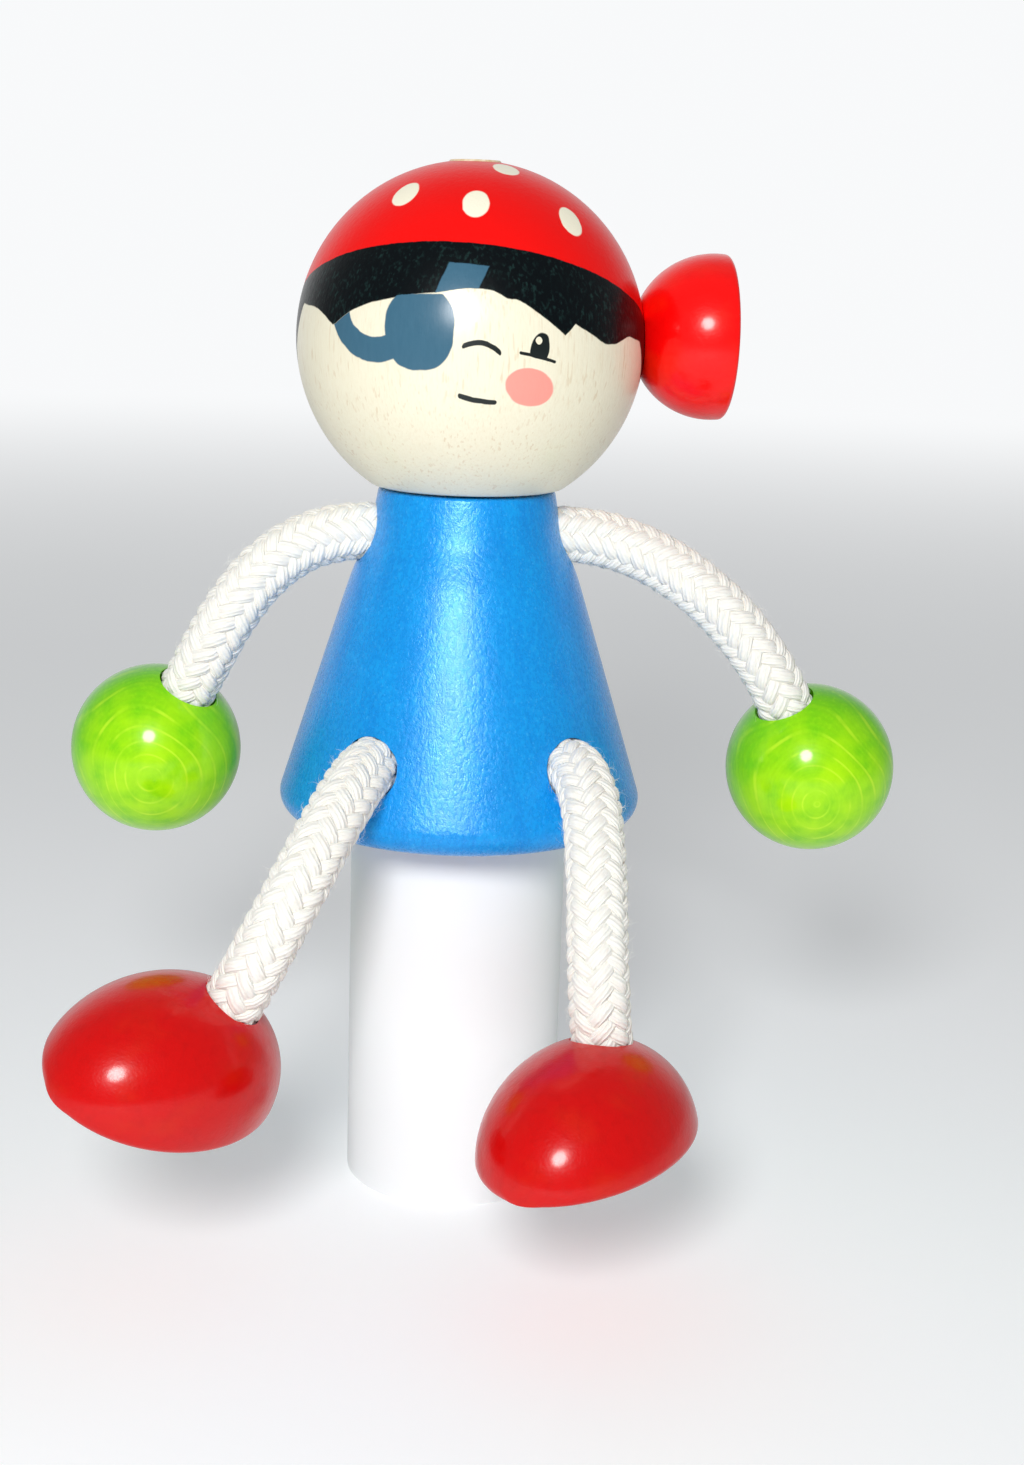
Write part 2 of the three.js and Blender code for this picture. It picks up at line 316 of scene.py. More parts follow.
class Surface:
    """A material under construction. Its place is the point on the object, in millimetres."""

    def __init__(self, name):
        self.material = bpy.data.materials.new(name)
        self.material.use_nodes = True
        self.tree = self.material.node_tree
        self.shader = self.tree.nodes["Principled BSDF"]
        coordinates = self.tree.nodes.new("ShaderNodeTexCoord")
        self.place = self.vector("SCALE", coordinates.outputs["Object"], scale=1 / MM)

    def vector(self, operation, first, second=None, scale=None):
        node = self.tree.nodes.new("ShaderNodeVectorMath")
        node.operation = operation
        plug(self.tree, first, node.inputs[0])
        if second is not None:
            plug(self.tree, second, node.inputs[1])
        if scale is not None:
            plug(self.tree, scale, node.inputs["Scale"])
        return node.outputs["Vector"]

    def dot(self, first, second):
        node = self.tree.nodes.new("ShaderNodeVectorMath")
        node.operation = "DOT_PRODUCT"
        plug(self.tree, first, node.inputs[0])
        plug(self.tree, second, node.inputs[1])
        return Num(self.tree, node.outputs["Value"])

    def grain(self, scale, stretch=(1, 1, 1), detail=2.0, roughness=0.5, place=None):
        """A noise from 0 to 1. Stretch is how often it repeats along each axis."""
        node = self.tree.nodes.new("ShaderNodeTexNoise")
        plug(self.tree, self.vector("MULTIPLY", place or self.place, stretch), node.inputs["Vector"])
        node.inputs["Scale"].default_value = scale
        node.inputs["Detail"].default_value = detail
        node.inputs["Roughness"].default_value = roughness
        return Num(self.tree, node.outputs[0])

    def cells(self, scale, stretch=(1, 1, 1)):
        """The distance to the nearest of many scattered points."""
        node = self.tree.nodes.new("ShaderNodeTexVoronoi")
        plug(self.tree, self.vector("MULTIPLY", self.place, stretch), node.inputs["Vector"])
        node.inputs["Scale"].default_value = scale
        return Num(self.tree, node.outputs["Distance"])

    def attribute(self, name):
        node = self.tree.nodes.new("ShaderNodeAttribute")
        node.attribute_name = name
        return Num(self.tree, node.outputs["Fac"])

    def mix(self, factor, first, second):
        node = self.tree.nodes.new("ShaderNodeMix")
        node.data_type = "RGBA"
        plug(self.tree, factor, node.inputs[0])
        plug(self.tree, first, node.inputs[6])
        plug(self.tree, second, node.inputs[7])
        return node.outputs[2]

    def curve(self, position, points):
        """A height read off straight lines between points, both from 0 to 1."""
        node = self.tree.nodes.new("ShaderNodeFloatCurve")
        plug(self.tree, position, node.inputs["Value"])
        curve = node.mapping.curves[0]
        curve.points[0].location = points[0]
        curve.points[1].location = points[-1]
        for point in points[1:-1]:
            curve.points.new(*point)
        for point in curve.points:
            point.handle_type = "VECTOR"
        node.mapping.update()
        return Num(self.tree, node.outputs[0])

    def bump(self, height, distance):
        """Raises the surface by height times distance, in millimetres."""
        node = self.tree.nodes.new("ShaderNodeBump")
        node.inputs["Strength"].default_value = 1
        node.inputs["Distance"].default_value = distance * MM
        plug(self.tree, height, node.inputs["Height"])
        self.set(Normal=node.outputs["Normal"])

    def set(self, **values):
        """Sets the shader's inputs. An underscore in a name stands for a space."""
        for name, value in values.items():
            plug(self.tree, value, self.shader.inputs[name.replace("_", " ")])


# ------------------------------------------------------------------ materials

BEECH = linear(238, 233, 210)
BEECH_FLECK = linear(205, 176, 136)
BEECH_PORE = linear(222, 204, 168)
BEECH_SHADE = linear(232, 222, 190)
SCARF_RED = linear(243, 10, 8)
SCARF_DEEP = linear(222, 14, 10)
CREAM = linear(250, 245, 222)
HAIR_BLACK = linear(0, 6, 10)
# Green of the hair's brush streaks, and partly a painted glint.
HAIR_STREAK_AND_GLINT = linear(26, 52, 50)
PATCH_BLUE = linear(56, 98, 121)
PATCH_PALE = linear(78, 118, 140)
CHEEK_PINK = linear(255, 155, 142)
INK = linear(4, 18, 18)

FACE_TILT = math.radians(23.4)  # the paint's pole leans back from the ball's
FACE_ROLL = math.radians(5.6)
FACE_UP = Vector(
    (
        math.sin(FACE_ROLL),
        math.cos(FACE_ROLL) * math.sin(FACE_TILT),
        math.cos(FACE_ROLL) * math.cos(FACE_TILT),
    )
)
FACE_RIGHT = FACE_UP.cross(Vector((0, -1, 0))).normalized()
FACE_AHEAD = FACE_RIGHT.cross(FACE_UP)
FACE_TURN = 0.8  # how far the face is turned to the figure's right

SCARF_EDGE = 9.2
HAIR_EDGE = [  # azimuth and elevation of the fringe's corners
    (-180, -19), (-168, -14), (-150, -21), (-139, -15), (-121, -20), (-108, -13), (-92, -15),
    (-75, -0.5), (-63, -6), (-54.5, -13.5), (-47, -11), (-40, -9.5), (-16, -7.5), (-6, -5.5),
    (1, -5.5), (6, -7.5), (9, -7), (27, -14), (29.5, -9.5), (44, -11.5), (49, -9.5), (55.5, -4.5),
    (66, -2), (78, -9), (92, -16), (104, -11), (121, -19), (134, -14), (152, -21), (166, -15),
    (180, -19),
]
DOT_RADIUS = 4.2
DOT_TALLER = 1.45  # a dot's height over its width
FRONT_DOTS = [(-34, 30.5), (-7, 25), (28, 26.5), (5, 50.5)]  # azimuth and elevation of each
BACK_DOT_ROWS = [  # elevation and azimuths of each row
    (25, range(84, 277, 32)), (45, range(80, 281, 40)), (67, range(70, 291, 70)),
]

PATCH_MIDDLE = (-21.5, -18.6)
PATCH_HALF_SIZE = (11.6, 12.3)
PATCH_SQUARENESS = 2.5  # 2 would make it an oval
PATCH_TOP = -8
OUTER_STRAP_MIDDLE = (-36, -9)  # it curves along the lower half of a ring about here
OUTER_STRAP_RADII = (11, 18.7)
OUTER_STRAP_END = -24
INNER_STRAP_MIDDLE = (-9.48, -5)
INNER_STRAP_HALF_SIZE = (6.2, 7.1)
INNER_STRAP_LEAN = 0.36  # degrees of azimuth for each of elevation
CHEEK_MIDDLE = (19.2, -32.1)
CHEEK_RADIUS = 9.5
CHEEK_WIDER = 1.63
MOUTH = dict(middle=0.4, half_length=7, half_width=0.8, soft=0.15, vertex=(2.5, -39.15), bend=0.0094)
NOSE = dict(middle=-0.4, half_length=5.8, half_width=0.82, soft=0.15, vertex=(-1, -21.6), bend=-0.046)
LASH = dict(middle=19, half_length=6.3, half_width=0.5, soft=0.12, vertex=(19, -22.5), bend=0)
PUPIL_MIDDLE = (18.9, -20.5)
PUPIL_RADIUS = 3.35
PUPIL_TALLER = 0.62
GLEAM_MIDDLE = (17.9, -17.7)
GLEAM_RADIUS = 1.15


def pale_beech(s):
    """The colour of pale beech with its short dark rays, and a height for its grain."""
    rays = s.grain(2.9, (1, 1, 0.14), detail=1.0).above(0.65, 0.06)
    patches = s.grain(0.3, (1, 1, 0.4)).above(0.5, 0.25)
    pores = s.grain(5.0, (1, 1, 0.05), detail=3.0)
    colour = s.mix(rays * (patches * 0.36 + 0.14), BEECH, BEECH_FLECK)
    colour = s.mix(pores.above(0.55, 0.12) * 0.16, colour, BEECH_PORE)
    colour = s.mix(s.grain(0.12, (1, 1, 0.3)) * 0.2, colour, BEECH_SHADE)
    return colour, pores


def scarf_dots(az, el):
    """The dots' mask: 1 inside each of the upright ovals on the scarf."""
    places = list(FRONT_DOTS)
    for elevation, azimuths in BACK_DOT_ROWS:
        places += [(a, elevation) for a in azimuths]
    nearest = None
    for azimuth, elevation in places:
        sideways = (az - azimuth).math("WRAP", 180, -180) * math.cos(math.radians(elevation))
        distance = sideways.away_from(0, (el - elevation) / DOT_TALLER, 0)
        nearest = distance if nearest is None else nearest.min(distance)
    return nearest.below(DOT_RADIUS, 0.25)


def face_angles(s):
    """Azimuth and elevation on the head, in degrees, with the slight unevenness of brushed edges."""
    from_centre = s.vector("SUBTRACT", s.place, HEAD_CENTRE)
    across = s.dot(from_centre, FACE_RIGHT)
    ahead = s.dot(from_centre, FACE_AHEAD)
    up = s.dot(from_centre, FACE_UP)
    shake = (s.grain(0.7) - 0.5) * 0.7
    az = across.math("ARCTAN2", ahead) * math.degrees(1) + shake + FACE_TURN
    el = (up / HEAD_RADIUS).math("ARCSINE") * math.degrees(1) + shake
    return az, el


def fringe_height(s, az):
    """The elevation of the hair's lower edge at an azimuth."""
    low, high = -30, 10
    corners = [((a + 180) / 360, (e - low) / (high - low)) for a, e in HAIR_EDGE]
    return s.curve(az / 360 + 0.5, corners) * (high - low) + low


def eye_patch_mask(az, el, hair):
    """A squarish patch with a curved strap below the hair and a straight one over it."""
    sideways = ((az - PATCH_MIDDLE[0]) / PATCH_HALF_SIZE[0]).abs().power(PATCH_SQUARENESS)
    upwards = ((el - PATCH_MIDDLE[1]) / PATCH_HALF_SIZE[1]).abs().power(PATCH_SQUARENESS)
    patch = (sideways + upwards).below(1, 0.05) * el.below(PATCH_TOP, 0.2)

    ring = az.away_from(OUTER_STRAP_MIDDLE[0], el, OUTER_STRAP_MIDDLE[1])
    inside, outside = OUTER_STRAP_RADII
    outer = ring.above(inside, 0.25) * ring.below(outside, 0.25) * az.below(OUTER_STRAP_END, 0.3)
    outer = outer * el.below(OUTER_STRAP_MIDDLE[1], 0.3) * hair.below(0.5, 0.3)

    half_width, half_height = INNER_STRAP_HALF_SIZE
    level = el - INNER_STRAP_MIDDLE[1]
    lean = az - INNER_STRAP_MIDDLE[0] - level * INNER_STRAP_LEAN
    inner = lean.abs().below(half_width, 0.25) * level.abs().below(half_height, 0.25) * hair.max(patch)
    return patch.max(outer).max(inner)


def stroke(az, el, middle, half_length, half_width, soft, vertex, bend):
    """A brush stroke with round ends, along a parabola that turns at its vertex."""
    height = (az - vertex[0]).power(2) * bend + vertex[1]
    past_end = ((az - middle).abs() - half_length).max(0)
    return past_end.away_from(0, el - height, 0).below(half_width, soft)


def ink_mask(az, el):
    """The mouth, the nose, and the open eye with its lash and gleam."""
    strokes = stroke(az, el, **MOUTH).max(stroke(az, el, **NOSE)).max(stroke(az, el, **LASH))
    pupil = az.away_from(PUPIL_MIDDLE[0], (el - PUPIL_MIDDLE[1]) * PUPIL_TALLER, 0).below(PUPIL_RADIUS, 0.15)
    pupil = pupil * el.above(LASH["vertex"][1], 0.1)
    gleam = az.away_from(GLEAM_MIDDLE[0], el, GLEAM_MIDDLE[1]).below(GLEAM_RADIUS, 0.15)
    return strokes.max(pupil * gleam.below(0.5, 0.4))


def hair_colour(s):
    # Dark green brush streaks in the paint, which also stand in for painted glints on the black hair.
    streaks_and_glints = s.grain(2.6, (1, 1, 0.6), detail=3.0).above(0.6, 0.1) * s.grain(0.5).above(0.45, 0.2)
    return s.mix(streaks_and_glints * 0.7, HAIR_BLACK, HAIR_STREAK_AND_GLINT)


def head_material():
    """Bare beech for the face, with a layer of paint for each thing painted on it."""
    s = Surface("painted_beech")
    wood, pores = pale_beech(s)
    az, el = face_angles(s)
    scarf = el.above(SCARF_EDGE, 0.2)
    hair = el.above(fringe_height(s, az), 0.25)
    eye_patch = eye_patch_mask(az, el, hair)
    cheek_height = (el - CHEEK_MIDDLE[1]) * CHEEK_WIDER
    cheek = az.away_from(CHEEK_MIDDLE[0], cheek_height, 0).below(CHEEK_RADIUS, 0.35)
    ink = ink_mask(az, el)
    dots = scarf_dots(az, el) * scarf

    patch_colour = s.mix(s.grain(1.8, (1, 1, 0.3), detail=3.0) * 0.35, PATCH_BLUE, PATCH_PALE)
    scarf_colour = s.mix(s.grain(0.25) * 0.25, SCARF_RED, SCARF_DEEP)
    colour = s.mix(cheek, wood, CHEEK_PINK)
    colour = s.mix(ink, colour, INK)
    colour = s.mix(hair, colour, hair_colour(s))
    colour = s.mix(eye_patch, colour, patch_colour)
    colour = s.mix(scarf, colour, scarf_colour)
    colour = s.mix(dots, colour, CREAM)

    paint = hair.max(eye_patch).max(scarf)
    film = paint + eye_patch * 0.6 + dots * 0.6 + ink * 0.5 + cheek * 0.4
    peel = s.grain(1.6, detail=1.0) * 0.9
    s.set(Base_Color=colour)
    s.set(Roughness=paint * -0.06 + 0.36 + pores * 0.08, Specular_IOR_Level=paint * -0.19 + 0.25)
    s.set(Coat_Weight=hair * -0.2 + 0.5, Coat_Roughness=pores * 0.12 + 0.18)
    s.bump(film * 0.8 + pores * 0.5 + peel, 0.035)
    return s.material


def torso_material():
    """Pearl paint, thin enough to show the speckle of the wood's end grain."""
    s = Surface("pearl_blue_paint")
    speck = s.grain(2.3, (1, 1, 0.6), detail=3.0, roughness=0.65)
    glitter = s.cells(2.2).below(0.22, 0.1) * s.grain(0.8).above(0.45, 0.15)
    streak = s.grain(0.5, (1, 1, 0.12), detail=2.0)
    colour = s.mix(speck.above(0.55, 0.12) * 0.45, linear(0, 148, 230), linear(10, 172, 246))
    colour = s.mix(streak.above(0.55, 0.2) * 0.3, colour, linear(0, 120, 210))
    colour = s.mix(glitter * 0.3, colour, linear(90, 196, 255))
    s.set(Base_Color=colour, Roughness=speck * 0.16 + 0.2, Metallic=0.1, Specular_IOR_Level=0.5)
    s.bump(speck + s.grain(7.0, detail=2.0) * 0.35, 0.07)
    return s.material


def red_paint_material(name, main, thin, deep):
    """Gloss paint, orange where it is thin, and deeper red where it has gathered."""
    s = Surface(name)
    worn = s.grain(0.16, (1, 1, 1.6), detail=3.0)
    colour = s.mix(worn.above(0.62, 0.16) * 0.5, main, thin)
    colour = s.mix(s.grain(0.9, detail=2.0).above(0.6, 0.2) * 0.25, colour, deep)
    s.set(Base_Color=colour, Roughness=s.grain(1.2) * 0.1 + 0.28, Specular_IOR_Level=0.12)
    s.set(Coat_Weight=0.45, Coat_Roughness=0.15)
    s.bump(s.grain(0.9, detail=2.0) + s.grain(3.5) * 0.6, 0.04)
    return s.material


def green_stain_material(name, centre, pith):
    """Green stain over wood whose growth rings circle the pith, a line through the bead. The stain has
    painted light on the front of the bead and painted shade on its back half.
    """
    s = Surface(name)
    pith = Vector(pith).normalized()
    offset = s.vector("SUBTRACT", s.place, centre)
    depth = s.dot(offset, pith)
    around = s.vector("SUBTRACT", offset, s.vector("SCALE", tuple(pith), scale=depth))
    from_pith = s.dot(around, around).math("SQRT")
    from_pith = from_pith + (s.grain(0.09, detail=0.0, place=offset) - 0.5) * 5
    rings = (from_pith * 4.6).math("SINE").above(0.9, 0.1)
    fine = (from_pith * 19).math("SINE") * 0.5 + 0.5
    broken = s.grain(0.3, detail=3.0, place=offset).above(0.52, 0.12)
    rays = s.grain(2.4, (1, 1, 0.5), detail=3.0).above(0.58, 0.1)
    # Painted light: a bright yellow-green patch where the bead faces forward along its pith.
    front_painted_light = depth.above(4.5, 5) * s.grain(0.35, detail=3.0, place=offset).above(0.4, 0.35)
    colour = s.mix(fine * 0.25, linear(108, 206, 6), linear(86, 184, 2))
    # Painted shade: darker green over the half of the bead that faces back.
    colour = s.mix(depth.below(0, 5) * 0.8, colour, linear(66, 156, 4))
    colour = s.mix(front_painted_light * 0.85, colour, linear(182, 240, 4))
    colour = s.mix(rays * 0.16, colour, linear(180, 240, 30))
    rings = rings * (broken * 0.55 + 0.06) * (depth.above(3, 5) * 0.8 + 0.2)
    colour = s.mix(rings, colour, linear(205, 244, 50))
    s.set(Base_Color=colour, Roughness=0.32, Specular_IOR_Level=0.14)
    s.set(Coat_Weight=0.45, Coat_Roughness=0.11)
    s.set(Subsurface_Weight=0.1, Subsurface_Radius=(0.6 * MM, 1.4 * MM, 0.2 * MM))
    s.bump(fine * 0.15 + s.grain(1.1), 0.02)
    return s.material


def dowel_material():
    s = Surface("bare_dowel")
    rings = s.grain(1.2, (1, 1, 0.1), detail=4.0)
    colour = s.mix(rings.above(0.5, 0.2), linear(246, 234, 205), linear(222, 196, 150))
    s.set(Base_Color=colour, Roughness=0.6)
    s.bump(rings, 0.05)
    return s.material


def rope_material():
    """Soft cotton: fine yarns run along each strand, and the valleys have painted shade, a darker cream."""
    s = Surface("cotton_rope")
    across = s.attribute("across")
    along = s.attribute("along")
    height = s.attribute("height")
    drift = s.grain(0.9, detail=2.0) * 0.5
    yarns = ((across * 11 + along * 0.42 + drift) * math.tau).math("SINE") * 0.5 + 0.5
    fluff = s.grain(5.5, detail=4.0, roughness=0.7)
    # Painted shade: darker cream on the undersides of the strands and where they dip under the others.
    colour = s.mix(height.below(0.5, 0.4) * 0.6, linear(255, 252, 242), linear(240, 231, 208))
    # Painted shade: slightly darker cream in the grooves between yarns.
    colour = s.mix(yarns.below(0.3, 0.3) * 0.15, colour, linear(240, 232, 214))
    s.set(Base_Color=colour, Roughness=0.92, Specular_IOR_Level=0.25)
    s.set(Sheen_Weight=0.35, Sheen_Roughness=0.5)
    s.set(Subsurface_Weight=0.5, Subsurface_Radius=(1.2 * MM, 1.1 * MM, 1.0 * MM))
    s.bump(yarns * 0.7 + fluff * 0.7, 0.12)
    return s.material


# ---------------------------------------------------------------- limb routes


class Limb:
    """The centreline of one rope: straight in each hole, and a cubic curve between."""

    steps = 240

    def __init__(self, mouth, leaving, leaving_handle, end, entering, entering_handle):
        self.mouth = Vector(mouth)
        self.leaving = Vector(leaving).normalized()
        self.end = Vector(end)
        self.entering = Vector(entering).normalized()
        first = self.mouth + self.leaving * leaving_handle
        second = self.end - self.entering * entering_handle
        self.points = []
        for i in range(self.steps + 1):
            t = i / self.steps
            u = 1 - t
            self.points.append(
                self.mouth * u**3 + first * 3 * u * u * t + second * 3 * u * t * t + self.end * t**3
            )
        self.reach = [0.0]
        for a, b in zip(self.points, self.points[1:]):
            self.reach.append(self.reach[-1] + (b - a).length)
        self.free = self.reach[-1]
        self.sides = self._carry_side()

    def _carry_side(self):
        """A direction square to the rope at each point, which turns no more than it must."""
        side = self.leaving.cross(Vector((0, 0, 1))).normalized()
        found = []
        for i in range(self.steps + 1):
            tangent = self._tangent(i)
            side = (side - tangent * side.dot(tangent)).normalized()
            found.append(side)
        return found

    def _tangent(self, i):
        a = self.points[max(i - 1, 0)]
        b = self.points[min(i + 1, self.steps)]
        return (b - a).normalized()

    def at(self, s):
        """The point, the tangent and two square directions at a length along the rope."""
        if s <= 0:
            tangent, side, point = self.leaving, self.sides[0], self.mouth + self.leaving * s
        elif s >= self.free:
            tangent, side = self.entering, self.sides[-1]
            point = self.end + self.entering * (s - self.free)
        else:
            i = next(k for k in range(self.steps) if self.reach[k + 1] >= s)
            t = (s - self.reach[i]) / (self.reach[i + 1] - self.reach[i])
            point = self.points[i].lerp(self.points[i + 1], t)
            tangent = self._tangent(i).lerp(self._tangent(i + 1), t).normalized()
            side = self.sides[i].lerp(self.sides[i + 1], t)
        side = (side - tangent * side.dot(tangent)).normalized()
        return point, tangent, side, tangent.cross(side)

    def bends(self):
        return [share * self.free for share in BEND_PLACES]


def torso_radius(height):
    return TORSO_BASE - (height - TORSO_BASE_ROUNDING) * math.tan(CONE_ANGLE)


LEG_HEIGHT = 9.2
LEG_ANGLE = math.radians(36.3)
LEG_X = torso_radius(LEG_HEIGHT) * math.sin(LEG_ANGLE)
LEG_Y = -torso_radius(LEG_HEIGHT) * math.cos(LEG_ANGLE)

LIMBS = {
    "right_arm": Limb(
        mouth=(-11.3, 0, 33.8), leaving=(-1, 0, 0), leaving_handle=12,
        end=(-32.3, -1, 15.2), entering=(-0.43, 0.29, -0.855), entering_handle=12,
    ),
    "left_arm": Limb(
        mouth=(11.3, 0, 33.8), leaving=(1, 0, 0), leaving_handle=13,
        end=(37.7, -6.8, 15.2), entering=(0.43, 0.2, -0.88), entering_handle=10.5,
    ),
    "right_leg": Limb(
        mouth=(-LEG_X, LEG_Y, LEG_HEIGHT), leaving=(-0.34, -0.94, 0), leaving_handle=8,
        end=(-25.9, -30.4, -12.6), entering=(-0.44, 0.28, -0.853), entering_handle=11.7,
    ),
    "left_leg": Limb(
        mouth=(LEG_X, LEG_Y, LEG_HEIGHT), leaving=(0.34, -0.94, 0), leaving_handle=8,
        end=(13.3, -34.1, -15.7), entering=(0.11, 0.003, -0.994), entering_handle=13.5,
    ),
}
# Where each toe points, before it is squared to the rope.
TOES = {"right_leg": Vector((-0.68, -0.71, 0.13)), "left_leg": Vector((-0.569, -0.82, -0.074))}
BODIES = {
    "arm": ("upper_arm", "forearm", "hand"),
    "leg": ("thigh", "shin", "foot"),
}

# ---------------------------------------------------------------------- braid

STRANDS = 8  # that wind each way
BRAID_PITCH = 15  # the length in which a strand goes once round
STRAND_WIDTH = 0.86  # half the width of a strand
STRAND_THICKNESS = 0.56
WAVE = 0.46  # how far a strand rises and dips as it crosses the others
STRAND_SIDES = 12
BRAID_STEP = 0.36
CORE_RADIUS = 2.15
MIDDLE_RADIUS = ROPE_RADIUS + 0.1 - STRAND_THICKNESS - WAVE
FIBRES_PER_MM = 60
FIBRE_SIDES = 3
FIBRE_STEPS = 5
BLEND_REACH = 4  # the most of a rope on each side of a joint that a bend would take; no bend is made
BLEND_MARGINS = (0.3, 0.2)  # what stays straight at the start and at the end of a stretch


def uneven(seed, s, pace):
    """A slow wander from -1 to 1, the same each run."""
    return noise.noise(Vector((seed * 7.31, s * pace, seed * 1.7)))


def strand_centre(limb, winding, index, s):
    """Where a strand's middle is at a length along the rope, its outward direction, and its rise."""
    point, _, side, other = limb.at(s)
    seed = index + STRANDS * (winding > 0) + limb.free
    angle = math.tau * (index / STRANDS + winding * s / BRAID_PITCH) + 0.06 * uneven(seed, s, 0.35)
    phase = 2 * index + winding * 2 * STRANDS * s / BRAID_PITCH
    rise = winding * math.cos(math.pi / 2 * (phase - 0.5))
    rise = max(-1.0, min(1.0, rise * 1.25))
    radius = MIDDLE_RADIUS + WAVE * rise + 0.07 * uneven(seed + 3.3, s, 0.6)
    out = side * math.cos(angle) + other * math.sin(angle)
    return point + out * radius, out, rise


class Shape:
    """Points and faces being gathered, with a number or two kept for each point."""

    def __init__(self, *kept):
        self.points = []
        self.faces = []
        self.kept = {name: [] for name in kept}

    def ring(self, points, **values):
        start = len(self.points)
        self.points += points
        for name, numbers in values.items():
            self.kept[name] += numbers
        return start

    def join(self, low, high, sides):
        for i in range(sides):
            j = (i + 1) % sides
            self.faces.append((low + i, low + j, high + j, high + i))

    def cap(self, start, sides, is_first):
        loop = tuple(range(start, start + sides))
        self.faces.append(loop[::-1] if is_first else loop)


def add_strand(shape, limb, winding, index, places):
    """One strand over a stretch of the rope, closed at both ends."""
    sides = STRAND_SIDES
    previous = None
    for s in places:
        centre, out, rise = strand_centre(limb, winding, index, s)
        before, _, _ = strand_centre(limb, winding, index, s - 0.1)
        after, _, _ = strand_centre(limb, winding, index, s + 0.1)
        forward = (after - before).normalized()
        across = forward.cross(out).normalized()
        up = across.cross(forward)
        swell = 1 + 0.09 * uneven(index + 20 * winding + limb.free, s, 0.5)
        ring, shares, heights = [], [], []
        for i in range(sides):
            turn = math.tau * i / sides - math.pi
            sine = math.sin(turn)
            cosine = math.cos(turn)
            width = STRAND_WIDTH * swell * math.copysign(abs(sine) ** 0.85, sine)
            thickness = STRAND_THICKNESS * math.copysign(abs(cosine) ** 0.9, cosine)
            ring.append(centre + across * width + up * thickness)
            shares.append(i / sides)
            # How high a point stands on the braid, which sets the rope's painted shade.
            heights.append(0.5 + 0.28 * rise + 0.22 * cosine)
        start = shape.ring(ring, across=shares, height=heights, along=[s] * sides)
        if previous is None:
            shape.cap(start, sides, True)
        else:
            shape.join(previous, start, sides)
        previous = start
    shape.cap(previous, sides, False)


def add_core(shape, limb, places):
    sides = 16
    previous = None
    for s in places:
        point, _, side, other = limb.at(s)
        ring = []
        for i in range(sides):
            turn = math.tau * i / sides
            ring.append(point + (side * math.cos(turn) + other * math.sin(turn)) * CORE_RADIUS)
        numbers = [0.0] * sides
        start = shape.ring(ring, across=numbers, height=numbers, along=[s] * sides)
        if previous is None:
            shape.cap(start, sides, True)
        else:
            shape.join(previous, start, sides)
        previous = start
    shape.cap(previous, sides, False)


def add_fibre(shape, rng, limb, low, high):
    """A loose cotton fibre that leaves a strand and curls back towards the rope."""
    sides = FIBRE_SIDES
    winding = rng.choice((-1, 1))
    index = rng.randrange(STRANDS)
    s = rng.uniform(low, high)
    root, out, _ = strand_centre(limb, winding, index, s)
    ahead, _, _ = strand_centre(limb, winding, index, s + 0.3)
    forward = (ahead - root).normalized() * rng.choice((-1, 1))
    sideways = out.cross(forward)
    length = rng.uniform(0.5, 1.6)
    lift = rng.uniform(0.1, 0.8)
    drift = rng.uniform(-0.8, 0.8)
    thick = rng.uniform(0.01, 0.02)
    root = root + out * STRAND_THICKNESS * 0.8
    previous = None
    for k in range(FIBRE_STEPS + 1):
        t = k / FIBRE_STEPS
        path = root + forward * length * t + out * lift * math.sin(math.pi * t * 0.75) * length * 0.5
        path = path + sideways * drift * t * t * length
        radius = thick * (1 - 0.7 * t)
        ring = []
        for i in range(sides):
            turn = math.tau * i / sides
            ring.append(path + (sideways * math.cos(turn) + out * math.sin(turn)) * radius)
        start = shape.ring(ring, across=[0.5] * sides, height=[1.0] * sides, along=[s] * sides)
        if previous is None:
            shape.cap(start, sides, True)
        else:
            shape.join(previous, start, sides)
        previous = start
    shape.cap(previous, sides, False)


def braid_piece(name, limb, low, high, rng, material):
    """A stretch of braid from one length along the rope to another."""
    steps = max(2, round((high - low) / BRAID_STEP))
    places = [low + (high - low) * i / steps for i in range(steps + 1)]
    shape = Shape("across", "height", "along")
    for winding in (-1, 1):
        for index in range(STRANDS):
            add_strand(shape, limb, winding, index, places)
    add_core(shape, limb, places)
    seen_low, seen_high = max(low, 0.3), min(high, limb.free - 0.3)
    for _ in range(round((seen_high - seen_low) * FIBRES_PER_MM)):
        add_fibre(shape, rng, limb, seen_low, seen_high)
    piece = make_piece(name, shape.points, shape.faces)
    for kept, numbers in shape.kept.items():
        piece.data.attributes.new(kept, "FLOAT", "POINT").data.foreach_set("value", numbers)
    recalculate_normals(piece)
    shade(piece, 60)
    piece.data.materials.append(material)
    return piece


def make_limb_ropes(name, limb, material):
    """Three stretches of braid, each of which crosses one joint."""
    rng = random.Random(name)
    first, second, third = limb.bends()
    side, kind = name.split("_")
    upper, middle, lower = (f"{side}_{part}" for part in BODIES[kind])
    cuts = [-ROPE_HIDDEN, (first + second) / 2, (second + third) / 2, limb.free + ROPE_HIDDEN]
    plan = [
        ("top", "torso", upper, first, ("rope_root", "rope_upper")),
        ("middle", upper, middle, second, ("rope_middle",)),
        ("end", middle, lower, third, ("rope_lower",)),
    ]
    for (label, near, far, bend, nodes), low, high in zip(plan, cuts, cuts[1:]):
        piece = braid_piece(f"{name}_braid_{label}", limb, low, high, rng, material)
        near_room = bend - max(low, 0) - BLEND_MARGINS[0]
        spread = min(near_room, high - bend - BLEND_MARGINS[1], BLEND_REACH)
        start = limb.at(bend - spread)[0] * MM
        end = limb.at(bend + spread)[0] * MM
        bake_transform(piece)
        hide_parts(*(f"{name}_{node}" for node in nodes))


# --------------------------------------------------------------- wooden pieces


